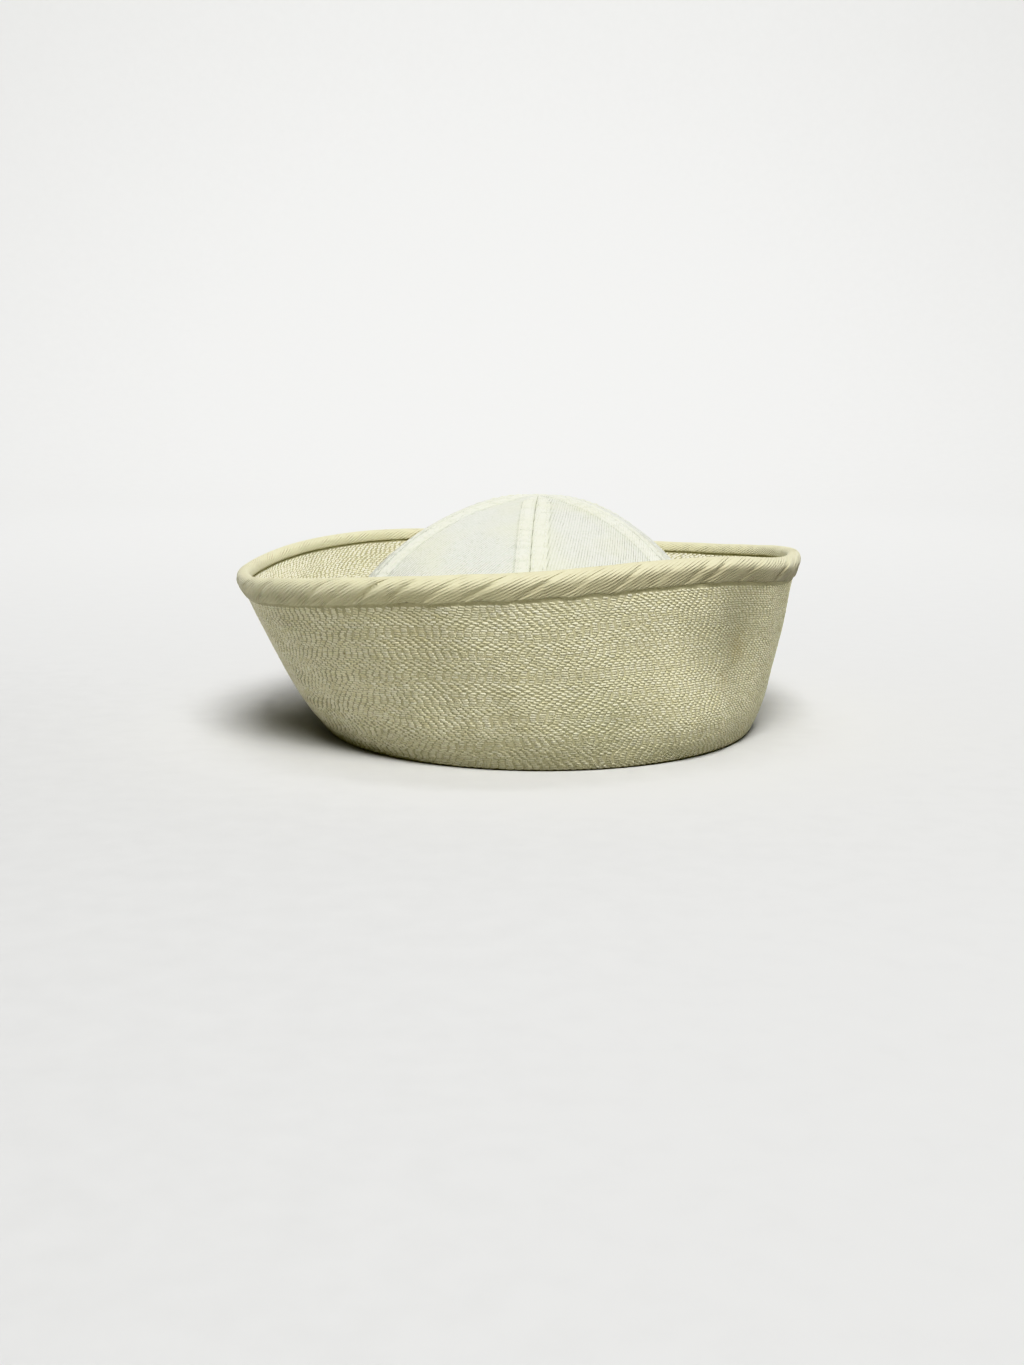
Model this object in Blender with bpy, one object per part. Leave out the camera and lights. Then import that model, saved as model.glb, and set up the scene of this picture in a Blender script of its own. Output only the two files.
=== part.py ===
# Sailor cap: six crown gores inside a stitched brim that is turned up all round, its edge bound in tape.
# Metres, +Z up. The cap's front faces -Y and its right side, seen from the front, lies towards +X.
# It stands on the folded edge of its brim, flattened where it rests.

import math
from collections import namedtuple

import bmesh
import bpy
from mathutils import Vector

# Head oval, over the outer edge of the flat that the fold rests on
FOLD_LENGTH = 0.2028
FOLD_WIDTH = 0.1706

# Brim: stitched plies, from the floor up the wall to the top of the binding
BRIM_SLANT = 0.0760
BRIM_THICK = 0.0030
FOLD_INSIDE_RADIUS = 0.0004

# Wall of the brim: how the turn-up rolls outward from the fold and straightens
FOLD_LEAN = math.radians(20)
FOLD_LEAN_FADE = 0.12
WALL_CURL = math.radians(4)

# Hem: the brim's lower edge, turned in and up behind the crown
HEM_HEIGHT = 0.0100
HEM_THICK = 0.0015
HEM_FOLD_RADIUS = 0.0012

# Bias tape folded over the brim's edge, with how far it reaches down each face
BINDING_OUTSIDE = 0.0094
BINDING_INSIDE = 0.0052
BINDING_CLOTH = 0.0010

# Crown: a straight skirt that stands in the brim's fold and a little above its hem, then a dome of six gores
CROWN_HEIGHT = 0.0930
CROWN_CLOTH = 0.0012
SKIRT_OVER_HEM = 0.0040
CROWN_TURN = math.radians(-4)
GORE_COUNT = 6
DOME_POWER = 2.0
DOME_ROOT = 2.0
PANEL_FLATNESS = 0.7

# Felled seam along each side of a gore. Where the gore narrows towards the top of the dome,
# the gap, the band and the step down from it keep to these shares of its width.
SEAM_BAND = 0.0060
SEAM_RAISE = 0.0005
MOST_GAP_SHARE = 0.4
MOST_BAND_SHARE = 0.3
MOST_STEP_SHARE = 0.05

CLEARANCE = 0.0003

# Mesh steps
ROUND_STEPS = 72
PANEL_STEPS = 5
INSIDE_STEPS = 9
DOME_STEPS = 11
TIP_LEVELS = (0.9975, 0.9999)
TRACE_STEPS = 60

# Turn: degrees round the oval from the front, by the right side.
# Lean: degrees that the wall leans out at mid height. Rise: extra slant, as a share of BRIM_SLANT.
Station = namedtuple("Station", "turn lean rise")
BRIM_STATIONS = (
    Station(0.0, 9, 0.008),
    Station(22.5, 2, 0.021),
    Station(45.0, 4, 0.022),
    Station(67.5, 9, -0.013),
    Station(90.0, 13, -0.012),
    Station(112.5, 20, -0.010),
    Station(135.0, 25, -0.018),
    Station(157.5, 28, -0.012),
    Station(180.0, 24, -0.004),
    Station(202.5, 18, 0.003),
    Station(225.0, 15, 0.006),
    Station(247.5, 18, -0.003),
    Station(270.0, 25, -0.020),
    Station(292.5, 27, -0.013),
    Station(315.0, 22, -0.004),
    Station(337.5, 15, 0.004),
)

# Soft dents and swells of the wall, which start above the rounded fold. Height, spread and depth are
# shares of BRIM_SLANT, arc is the half width in degrees of turn, and a depth below zero is a dent.
DENT_START = 0.06
Dent = namedtuple("Dent", "turn arc height spread depth")
BRIM_DENTS = (
    Dent(21, 9, 0.20, 0.14, -0.016),
    Dent(40, 12, 0.28, 0.20, 0.014),
    Dent(58, 8, 0.72, 0.24, -0.012),
    Dent(338, 16, 0.50, 0.22, -0.008),
    Dent(24, 14, 0.80, 0.20, 0.008),
    Dent(150, 14, 0.45, 0.25, 0.010),
    Dent(205, 16, 0.55, 0.25, -0.010),
    Dent(262, 12, 0.40, 0.22, 0.008),
)

# Slump of the crown: how much further out each direction of the dome hangs, as a share of its radius.
Slump = namedtuple("Slump", "turn spread")
CROWN_SLUMP = (
    Slump(0, 0.01),
    Slump(60, -0.04),
    Slump(120, -0.08),
    Slump(180, -0.01),
    Slump(240, 0.02),
    Slump(300, 0.085),
)


def around(rows, column, turn):
    """A column of a table, read at any turn by a smooth curve that closes on itself."""
    step = math.tau / len(rows)
    whole, part = divmod((turn % math.tau) / step, 1.0)
    first, second, third, fourth = (
        getattr(rows[(int(whole) + shift) % len(rows)], column) for shift in (-1, 0, 1, 2)
    )
    bend = 2 * first - 5 * second + 4 * third - fourth
    twist = -first + 3 * second - 3 * third + fourth
    return second + 0.5 * part * (third - first + part * (bend + part * twist))


def bell(distance, width):
    return math.exp(-((distance / width) ** 2))


def on_oval(turn, outward, height):
    """A point near the head oval: outward from the oval's outer edge, at a height over the floor."""
    half_length = FOLD_LENGTH / 2
    half_width = FOLD_WIDTH / 2
    normal = Vector((math.sin(turn) / half_width, -math.cos(turn) / half_length, 0)).normalized()
    edge = Vector((half_width * math.sin(turn), -half_length * math.cos(turn), 0))
    return edge + normal * outward + Vector((0, 0, height))


def fold_radius():
    return FOLD_INSIDE_RADIUS + BRIM_THICK


def brim_slant(turn):
    return BRIM_SLANT * (1 + around(BRIM_STATIONS, "rise", turn))


def wall_lean(turn, share):
    """Angle of the wall from upright, at a share of the slant."""
    lean = math.radians(around(BRIM_STATIONS, "lean", turn))
    return lean + FOLD_LEAN * math.exp(-share / FOLD_LEAN_FADE) - WALL_CURL * (share - 0.5)


def wall_bulge(turn, share):
    bulge = 0.0
    for dent in BRIM_DENTS:
        away = (math.degrees(turn) - dent.turn + 180) % 360 - 180
        bulge += BRIM_SLANT * dent.depth * bell(away, dent.arc) * bell(share - dent.height, dent.spread)
    return bulge * min(1.0, max(0.0, share / DENT_START - 1))


def trace_wall(turn):
    """Outer face of the brim in its section plane: rows of (along, outward, height, angle from upright)."""
    slant = brim_slant(turn)
    step = slant / TRACE_STEPS
    outward = height = 0.0
    angle = math.pi / 2
    rows = [(0.0, outward, height, angle)]
    for index in range(TRACE_STEPS):
        along = step * (index + 0.5)
        angle = max(wall_lean(turn, along / slant), math.pi / 2 - along / fold_radius())
        outward += step * math.sin(angle)
        height += step * math.cos(angle)
        rows.append((step * (index + 1), outward, height, angle))
    return rows


def wall_reader(turn):
    """A function that places a point of the brim by its way along the outer face and its depth from it."""
    rows = trace_wall(turn)
    slant = brim_slant(turn)

    def place(along, depth, beyond=0.0):
        position = min(along / slant * TRACE_STEPS, TRACE_STEPS - 1e-9)
        low = int(position)
        part = position - low
        _, outward, height, angle = (
            one + (other - one) * part for one, other in zip(rows[low], rows[low + 1])
        )
        bulge = wall_bulge(turn, along / slant)
        outward += math.sin(angle) * beyond - math.cos(angle) * (depth - bulge)
        height += math.cos(angle) * beyond + math.sin(angle) * (depth - bulge)
        return on_oval(turn, outward, height)

    return place


def edge_centre(turn):
    """Way along the wall to the centre of the rounded edge that the binding wraps."""
    return brim_slant(turn) - BINDING_CLOTH - CLEARANCE - BRIM_THICK / 2


def round_edge(place, centre, radius, steps):
    """Half circle over the brim's edge, from the outer face to the inner one."""
    points = []
    for index in range(steps + 1):
        angle = math.pi * index / steps
        depth = BRIM_THICK / 2 - radius * math.cos(angle)
        points.append(place(centre, depth, radius * math.sin(angle)))
    return points


def crown_outside():
    """How far inside the head oval's edge the crown's skirt stands."""
    return CLEARANCE + SEAM_RAISE


def hem_outside():
    return crown_outside() + CROWN_CLOTH + CLEARANCE


def brim_section(turn):
    """Closed outline of the brim: up the outer face, over the edge, down to the fold and round the hem."""
    place = wall_reader(turn)
    centre = edge_centre(turn)
    fold_end = (math.pi / 2 - wall_lean(turn, 0.0)) * fold_radius()
    fold = [fold_end * index / 3 for index in range(4)]
    wall = [fold_end + (centre - fold_end) * share for share in (0.08, 0.18, 0.30, 0.44, 0.58, 0.72, 0.86)]
    outer = [place(along, 0.0) for along in fold + wall]
    edge = round_edge(place, centre, BRIM_THICK / 2, 4)
    inner = [place(along, BRIM_THICK) for along in reversed([0.0, fold_end] + wall)]
    hem_inside = hem_outside() + HEM_THICK
    hem = [
        (-hem_outside(), BRIM_THICK),
        (-hem_outside(), HEM_HEIGHT - HEM_THICK / 4),
        (-hem_outside() - HEM_THICK / 4, HEM_HEIGHT),
        (-hem_inside + HEM_THICK / 4, HEM_HEIGHT),
        (-hem_inside, HEM_HEIGHT - HEM_THICK / 4),
    ]
    for index in range(4):
        angle = math.pi / 2 * index / 3
        outward = -hem_inside + HEM_FOLD_RADIUS * (1 - math.cos(angle))
        hem.append((outward, HEM_FOLD_RADIUS * (1 - math.sin(angle))))
    return outer + edge + inner + [on_oval(turn, outward, height) for outward, height in hem]


def binding_section(turn):
    """Closed outline of the tape: a narrow U over the brim's edge."""
    place = wall_reader(turn)
    centre = edge_centre(turn)
    inside = BRIM_THICK / 2 + CLEARANCE
    outside = inside + BINDING_CLOTH
    outer_leg = [centre - (BINDING_OUTSIDE - outside) * share for share in (1.0, 0.5)]
    inner_leg = centre - (BINDING_INSIDE - outside)
    points = [place(along, -CLEARANCE - BINDING_CLOTH) for along in outer_leg]
    points += round_edge(place, centre, outside, 6)
    points.append(place(inner_leg, BRIM_THICK + CLEARANCE + BINDING_CLOTH))
    points.append(place(inner_leg, BRIM_THICK + CLEARANCE))
    points += reversed(round_edge(place, centre, inside, 4))
    points += [place(along, -CLEARANCE) for along in reversed(outer_leg)]
    return points


def crown_levels():
    """Rises of a gore's sections: its foot, below 0, then the dome, closer together towards its top at 1."""
    foot = BRIM_THICK + CLEARANCE
    skirt_top = HEM_HEIGHT + SKIRT_OVER_HEM
    below = (foot - skirt_top) / (CROWN_HEIGHT - skirt_top)
    dome = [math.sin(math.pi / 2 * step / DOME_STEPS) for step in range(DOME_STEPS)]
    return [below, *dome, *TIP_LEVELS]


def crown_point(turn, rise, depth):
    """A point of the crown: rise is 0 at the top of the straight skirt and 1 at the top of the dome."""
    skirt_top = HEM_HEIGHT + SKIRT_OVER_HEM
    height = skirt_top + (CROWN_HEIGHT - skirt_top) * rise
    rise = max(0.0, rise)
    ring = (1 - rise**DOME_POWER) ** (1 / DOME_ROOT)
    off_centre = (turn - CROWN_TURN) % (math.tau / GORE_COUNT) - math.pi / GORE_COUNT
    facet = math.cos(math.pi / GORE_COUNT) / math.cos(off_centre)
    ring *= 1 - PANEL_FLATNESS * rise * (1 - facet)
    ring *= 1 + around(CROWN_SLUMP, "spread", turn - CROWN_TURN) * (1 - (1 - rise) ** 3)
    across = (FOLD_WIDTH / 2 - crown_outside() - depth) * ring
    forward = (FOLD_LENGTH / 2 - crown_outside() - depth) * ring
    return Vector((across * math.sin(turn), -forward * math.cos(turn), height - depth * rise**4))


def gore_section(index, rise):
    """Closed outline of one gore at one level: its outer face from seam to seam and back along the inner."""
    start = CROWN_TURN + math.tau / GORE_COUNT * index
    end = start + math.tau / GORE_COUNT
    width = (crown_point(end, rise, 0) - crown_point(start, rise, 0)).length
    margin = min(MOST_GAP_SHARE, CLEARANCE / 2 / width)
    band = min(MOST_BAND_SHARE, SEAM_BAND / width)
    panel = band + min(MOST_STEP_SHARE, SEAM_RAISE / width)
    seam_shares = (margin, band, panel)
    plain = [panel + (1 - 2 * panel) * step / PANEL_STEPS for step in range(1, PANEL_STEPS)]
    across = [*seam_shares, *plain, *(1 - part for part in reversed(seam_shares))]
    inner_shares = [margin + (1 - 2 * margin) * step / INSIDE_STEPS for step in range(INSIDE_STEPS + 1)]
    outer = []
    for position, part in enumerate(across):
        raised = SEAM_RAISE if position < 2 or position >= len(across) - 2 else 0.0
        outer.append(crown_point(start + (end - start) * part, rise, -raised))
    inner = [crown_point(start + (end - start) * part, rise, CROWN_CLOTH) for part in reversed(inner_shares)]
    return outer + inner


def outline(mesh, points):
    """The edges of one closed outline."""
    corners = [mesh.verts.new(point) for point in points]
    return [mesh.edges.new((corners[index - 1], corners[index])) for index in range(len(corners))]


def skin(name, sections, ring, material):
    """An object whose surface bridges the sections, closed into a ring or capped at its two ends."""
    shell = bmesh.new()
    loops = [outline(shell, points) for points in sections]
    following = loops[1:] + loops[:1] if ring else loops[1:]
    for loop, next_loop in zip(loops, following):
        bmesh.ops.bridge_loops(shell, edges=loop + next_loop)
    if not ring:
        for loop in (loops[0], loops[-1]):
            bmesh.ops.contextual_create(shell, geom=loop)
    bmesh.ops.recalc_face_normals(shell, faces=shell.faces)
    mesh = bpy.data.meshes.new(name)
    shell.to_mesh(mesh)
    shell.free()
    mesh.shade_smooth()
    mesh.set_sharp_from_angle(angle=math.radians(45))
    mesh.materials.append(material)
    piece = bpy.data.objects.new(name, mesh)
    bpy.context.collection.objects.link(piece)
    return piece


def cloth(name, colour, roughness):
    material = bpy.data.materials.new(name)
    material.use_nodes = True
    shader = material.node_tree.nodes["Principled BSDF"]
    shader.inputs["Base Color"].default_value = (*colour, 1.0)
    shader.inputs["Roughness"].default_value = roughness
    shader.inputs["Metallic"].default_value = 0.0
    return material


def stand_on_origin(pieces):
    """Hangs the pieces on an empty that puts the middle of their box's underside at the origin."""
    corners = [vertex.co for piece in pieces for vertex in piece.data.vertices]
    middle = [
        (min(corner[axis] for corner in corners) + max(corner[axis] for corner in corners)) / 2
        for axis in range(2)
    ]
    cap = bpy.data.objects.new("sailor_cap", None)
    cap.location = (-middle[0], -middle[1], -min(corner.z for corner in corners))
    bpy.context.collection.objects.link(cap)
    for piece in pieces:
        piece.parent = cap


def main():
    for thing in list(bpy.data.objects):
        bpy.data.objects.remove(thing, do_unlink=True)
    stitched = cloth("stitched_brim_cloth", (0.60, 0.59, 0.50), 0.85)
    tape = cloth("binding_twill", (0.62, 0.60, 0.49), 0.80)
    twill = cloth("white_crown_twill", (0.82, 0.83, 0.83), 0.70)
    turns = [math.tau * step / ROUND_STEPS for step in range(ROUND_STEPS)]
    pieces = [
        skin("brim", [brim_section(turn) for turn in turns], True, stitched),
        skin("brim_binding", [binding_section(turn) for turn in turns], True, tape),
    ]
    for index in range(GORE_COUNT):
        sections = [gore_section(index, rise) for rise in crown_levels()]
        pieces.append(skin(f"crown_gore_{index + 1}", sections, False, twill))
    stand_on_origin(pieces)


main()
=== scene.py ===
# Sailor cap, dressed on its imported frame: a quilted turn-up brim with every lockstitch in place,
# twill tape over the brim's edge and a crown of six felled gores. Metres, +Z up, front towards -Y.
# A turn is an angle round the cap's opening from the front, by the side that lies towards +X.

import math

import bmesh
import bpy
import numpy as np
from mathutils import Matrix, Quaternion, Vector


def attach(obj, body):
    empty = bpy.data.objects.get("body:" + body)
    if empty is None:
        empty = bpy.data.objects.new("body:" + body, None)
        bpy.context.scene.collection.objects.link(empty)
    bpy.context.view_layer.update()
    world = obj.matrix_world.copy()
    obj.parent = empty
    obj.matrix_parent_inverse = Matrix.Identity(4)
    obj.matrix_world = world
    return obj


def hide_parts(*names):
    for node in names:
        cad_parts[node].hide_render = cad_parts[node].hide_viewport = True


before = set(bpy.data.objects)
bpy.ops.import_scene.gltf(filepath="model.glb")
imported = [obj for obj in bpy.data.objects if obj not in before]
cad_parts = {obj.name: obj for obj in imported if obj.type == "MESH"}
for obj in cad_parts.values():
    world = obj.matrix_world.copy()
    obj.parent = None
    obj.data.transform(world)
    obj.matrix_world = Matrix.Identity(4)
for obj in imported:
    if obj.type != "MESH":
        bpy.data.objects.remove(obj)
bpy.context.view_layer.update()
print("frame loaded:", ", ".join(sorted(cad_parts)))

mm = 0.001
fullTurn = math.tau

# The oval of the cap's opening, where the brim's fold starts and everything is set out from
opening = {
    "length": 0.2028,
    "width": 0.1706,
    "middle": (0.00582, -0.00833),
    "clearance": 0.3 * mm,  # air between two layers of cloth
}

# Shape of the brim. Lean is how far the wall leans out, in degrees, and rise is extra slant as a share
# of the slant: both are read every 22.5 degrees of turn from the front.
brim = {
    "slant": 0.0760,
    "thick": 3.0 * mm,
    "foldRadius": 3.4 * mm,
    "foldLean": math.radians(20),
    "foldLeanFade": 0.12,
    "curl": math.radians(4),
    "lean": (9, 2, 4, 9, 13, 20, 25, 28, 24, 18, 15, 18, 25, 27, 22, 15),
    "rise": (
        0.008, 0.021, 0.022, -0.013, -0.012, -0.010, -0.018, -0.012,
        -0.004, 0.003, 0.006, -0.003, -0.020, -0.013, -0.004, 0.004,
    ),
    # turn, half width in degrees, height, spread and depth as shares of the slant
    "dents": (
        (21, 9, 0.20, 0.14, -0.016),
        (40, 12, 0.28, 0.20, 0.014),
        (58, 8, 0.72, 0.24, -0.012),
        (338, 16, 0.50, 0.22, -0.008),
        (24, 14, 0.80, 0.20, 0.008),
        (150, 14, 0.45, 0.25, 0.010),
        (205, 16, 0.55, 0.25, -0.010),
        (262, 12, 0.40, 0.22, 0.008),
        (40, 13, 0.18, 0.16, 0.018),  # from here on shallow swells, too soft for the CAD body
        (34, 16, 0.58, 0.22, -0.012),
        (52, 10, 0.52, 0.28, -0.022),
        (315, 26, 0.62, 0.24, 0.010),
        (322, 22, 0.22, 0.16, 0.008),
        (17, 13, 0.30, 0.16, 0.011),
    ),
    "dentStart": 0.06,
    "belly": 0.6 * mm,  # how far the wall above the fold stands out, for its rounder foot
    "waveCount": 14,
    "waveDepth": 0.11 * mm,
    "hemHeight": 10.0 * mm,
    "hemThick": 1.5 * mm,
    "hemFold": 1.2 * mm,
}


def smoothRing(values, turn):
    # Catmull-Rom curve through equally spaced values, closed on itself
    values = np.asarray(values, float)
    position = turn % fullTurn / fullTurn * len(values)
    whole = np.floor(position).astype(int)
    part = position - whole
    first, second, third, fourth = (values[(whole + shift) % len(values)] for shift in (-1, 0, 1, 2))
    bend = 2 * first - 5 * second + 4 * third - fourth
    twist = -first + 3 * second - 3 * third + fourth
    return second + 0.5 * part * (third - first + part * (bend + part * twist))


def bell(distance, width):
    return np.exp(-((distance / width) ** 2))


def ease(start, end, value):
    # smooth step from 0 at start to 1 at end
    part = np.clip((value - start) / (end - start), 0.0, 1.0)
    return part * part * (3 - 2 * part)


def ovalPoint(turn, outward, height):
    acrossHalf, forwardHalf = opening["width"] / 2, opening["length"] / 2
    normalX, normalY = np.sin(turn) / acrossHalf, -np.cos(turn) / forwardHalf
    size = np.hypot(normalX, normalY)
    x = acrossHalf * np.sin(turn) + normalX / size * outward + opening["middle"][0]
    y = -forwardHalf * np.cos(turn) + normalY / size * outward + opening["middle"][1]
    return np.stack([x, y, height + 0 * x], axis=-1)


def slantAt(turn):
    return brim["slant"] * (1 + smoothRing(brim["rise"], turn))


def traceWall(columns=720, steps=240):
    # outward, height and angle from upright of the wall's outer face, at equal steps of the slant
    turn = fullTurn * np.arange(columns) / columns
    slant = slantAt(turn)
    lean = np.radians(smoothRing(brim["lean"], turn))
    traced = np.zeros((3, steps + 1, columns))
    traced[2, 0] = math.pi / 2
    for index in range(steps):
        share = (index + 0.5) / steps
        roll = brim["foldLean"] * math.exp(-share / brim["foldLeanFade"]) - brim["curl"] * (share - 0.5)
        angle = np.maximum(lean + roll, math.pi / 2 - share * slant / brim["foldRadius"])
        traced[0, index + 1] = traced[0, index] + slant / steps * np.sin(angle)
        traced[1, index + 1] = traced[1, index] + slant / steps * np.cos(angle)
        traced[2, index + 1] = angle
    return traced


wallTable = traceWall()
waveSeeds = np.random.default_rng(7)
brimWaves = [
    (
        waveSeeds.integers(5, 34),  # how many round the brim
        waveSeeds.uniform(1, 16),
        waveSeeds.uniform(0, fullTurn),
        waveSeeds.uniform(0.4, 1),
    )
    for wave in range(brim["waveCount"])
]


def wallBulge(turn, share):
    # how far dents, swells and the cloth's small waves move the wall outwards
    bulge = np.zeros(np.broadcast(turn, share).shape)
    for dentTurn, arc, height, spread, depth in brim["dents"]:
        away = (np.degrees(turn) - dentTurn + 180) % 360 - 180
        bulge = bulge + brim["slant"] * depth * bell(away, arc) * bell(share - height, spread)
    for around, up, phase, strength in brimWaves:
        bulge = bulge + brim["waveDepth"] * strength * np.sin(around * turn + up * share + phase)
    bulge = bulge + brim["belly"] * ease(0.02, 0.26, share)
    return bulge * np.clip(share / brim["dentStart"] - 1, 0, 1)


def wallPoint(turn, share, depth, beyond=0.0):
    # a point of the brim by its share of the slant and its depth behind the outer face
    turn, share = np.broadcast_arrays(np.asarray(turn, float), np.asarray(share, float))
    steps, columns = wallTable.shape[1] - 1, wallTable.shape[2]
    column = turn / fullTurn * columns
    left = np.floor(column).astype(int)
    row = np.clip(share, 0, 1) * steps
    low = np.minimum(row.astype(int), steps - 1)
    sideways, upwards = column - left, row - low
    here, beside = left % columns, (left + 1) % columns
    lower, upper = (
        wallTable[:, level, here] * (1 - sideways) + wallTable[:, level, beside] * sideways
        for level in (low, low + 1)
    )
    outward, height, angle = lower * (1 - upwards) + upper * upwards
    proud = wallBulge(turn, share) - depth
    outward = outward + np.sin(angle) * beyond + np.cos(angle) * proud
    height = height + np.cos(angle) * beyond - np.sin(angle) * proud
    return ovalPoint(turn, outward, height)


# Helpers for meshes

def finishPiece(name, shell, material, replaced=()):
    mesh = bpy.data.meshes.new(name)
    shell.to_mesh(mesh)
    shell.free()
    mesh.shade_smooth()
    mesh.materials.append(material)
    piece = bpy.data.objects.new(name, mesh)
    bpy.context.collection.objects.link(piece)
    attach(piece, "root")
    if replaced:
        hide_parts(*replaced)
    mesh.calc_loop_triangles()
    print(f"{name}: {len(mesh.loop_triangles)} triangles")
    return piece


def clothGrid(points, cloth=None, marks=None):
    # A flat grid laid over a table of points, rows by columns. It is welded where its borders meet.
    # cloth is the UV of each point, and marks are named numbers kept with each point.
    rows, columns = points.shape[:2]
    flat = bmesh.new()
    bmesh.ops.create_grid(flat, x_segments=columns - 1, y_segments=rows - 1, size=0.5)
    mesh = bpy.data.meshes.new("flat")
    flat.to_mesh(mesh)
    flat.free()
    laid = np.empty(len(mesh.vertices) * 3, np.float32)
    mesh.vertices.foreach_get("co", laid)
    laid = laid.reshape(-1, 3) + 0.5
    column = np.rint(laid[:, 0] * (columns - 1)).astype(int)
    row = np.rint(laid[:, 1] * (rows - 1)).astype(int)
    mesh.vertices.foreach_set("co", points[row, column].astype(np.float32).ravel())
    if cloth is not None:
        corners = np.empty(len(mesh.loops), np.int32)
        mesh.loops.foreach_get("vertex_index", corners)
        uv = mesh.uv_layers.new(name="clothRun")
        uv.uv.foreach_set("vector", cloth[row, column][corners].astype(np.float32).ravel())
    for name, values in (marks or {}).items():
        attribute = mesh.attributes.new(name, "FLOAT", "POINT")
        attribute.data.foreach_set("value", values[row, column].astype(np.float32))
    shell = bmesh.new()
    shell.from_mesh(mesh)
    bpy.data.meshes.remove(mesh)
    bmesh.ops.remove_doubles(shell, verts=shell.verts, dist=1e-6)
    return shell


def stitchSeed(fullness=0.68, sag=0.3):
    # one stitch of unit size along X: three sides that meet in a ridge, and pointed ends.
    # The ridge sags, so that the upper side is the broad one.
    seed = bmesh.new()
    bmesh.ops.create_uvsphere(seed, u_segments=3, v_segments=3, radius=1.0)
    turned = Quaternion((0, 1, 0), -math.pi / 2).to_matrix().to_4x4()
    bmesh.ops.transform(seed, matrix=turned, verts=seed.verts)
    bmesh.ops.recalc_face_normals(seed, faces=seed.faces)
    seed.verts.index_update()
    points = np.array([corner.co[:] for corner in seed.verts])
    ring = np.abs(points[:, 0]) < 0.9
    points[ring] *= np.array([fullness / 0.5, 1 / 0.75, 1 / 0.866])
    points[:, 1] -= sag * np.maximum(points[:, 2], 0)
    faces = [[corner.index for corner in face.verts] for face in seed.faces]
    seed.free()
    return points, faces


def sewStitches(name, centres, alongAxis, upAxis, size, dive, tones, material, slot):
    # copies of the stitch seed, one for each centre, joined in one mesh. dive is how far the ends go down.
    points, faces = stitchSeed()
    normal = np.cross(alongAxis, upAxis)
    along, across, through = (points[None, :, axis, None] for axis in range(3))
    length, height, depth = (size[:, axis, None, None] for axis in range(3))
    offsets = along * (length * alongAxis[:, None, :]) + across * (height * upAxis[:, None, :])
    offsets = offsets + (through * depth - dive * along**2) * normal[:, None, :]
    placed = (centres[:, None, :] + offsets).reshape(-1, 3)
    firsts = range(0, len(placed), len(points))
    sewn = [[corner + first for corner in face] for first in firsts for face in faces]
    mesh = bpy.data.meshes.new(name)
    mesh.from_pydata(placed.tolist(), [], sewn)
    tone = mesh.attributes.new("stitchTone", "FLOAT", "POINT")
    tone.data.foreach_set("value", np.repeat(tones, len(points)).astype(np.float32))
    shell = bmesh.new()
    shell.from_mesh(mesh)
    bpy.data.meshes.remove(mesh)
    return finishPiece(name, shell, material)


def unit(vectors):
    return vectors / np.linalg.norm(vectors, axis=-1, keepdims=True)


# Helpers for materials

def hexColour(code):
    # sRGB hex to the linear colour that a shader takes
    channels = [int(code[at:at + 2], 16) / 255 for at in (0, 2, 4)]
    return (*(c / 12.92 if c <= 0.04045 else ((c + 0.055) / 1.055) ** 2.4 for c in channels), 1.0)


def addNode(tree, kind, inputs=None, **settings):
    node = tree.nodes.new("ShaderNode" + kind)
    for name, value in settings.items():
        setattr(node, name, value)
    for socket, value in (inputs or {}).items():
        if isinstance(value, bpy.types.NodeSocket):
            tree.links.new(value, node.inputs[socket])
        else:
            node.inputs[socket].default_value = value
    return node


def newMaterial(name, roughness, sheen=0.0):
    material = bpy.data.materials.new(name)
    material.use_nodes = True
    shader = material.node_tree.nodes["Principled BSDF"]
    shader.inputs["Roughness"].default_value = roughness
    shader.inputs["IOR"].default_value = 1.47  # cellulose
    shader.inputs["Sheen Weight"].default_value = sheen
    shader.inputs["Sheen Roughness"].default_value = 0.5
    return material, material.node_tree, shader


def noiseScale(size):
    # scale of a noise on metres whose patches are about this size
    return 1 / size


def linkFinish(tree, shader, colour, bump):
    tree.links.new(colour, shader.inputs["Base Color"])
    tree.links.new(bump, shader.inputs["Normal"])


# Age marks of the cap: turn in degrees, share of the slant, radius, strength and colour
ageMarks = (
    (52, 0.56, 11 * mm, 0.30, "B9A56B"),
    (47, 0.40, 8 * mm, 0.16, "B9A56B"),
    (-41, 0.62, 0.9 * mm, 0.75, "7A6A44"),
    (12, 0.30, 20 * mm, 0.12, "A9B08C"),
    (-25, 0.72, 26 * mm, 0.10, "B5A878"),
    (49, 0.66, 34 * mm, 0.45, "A5A187"),
)


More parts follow.
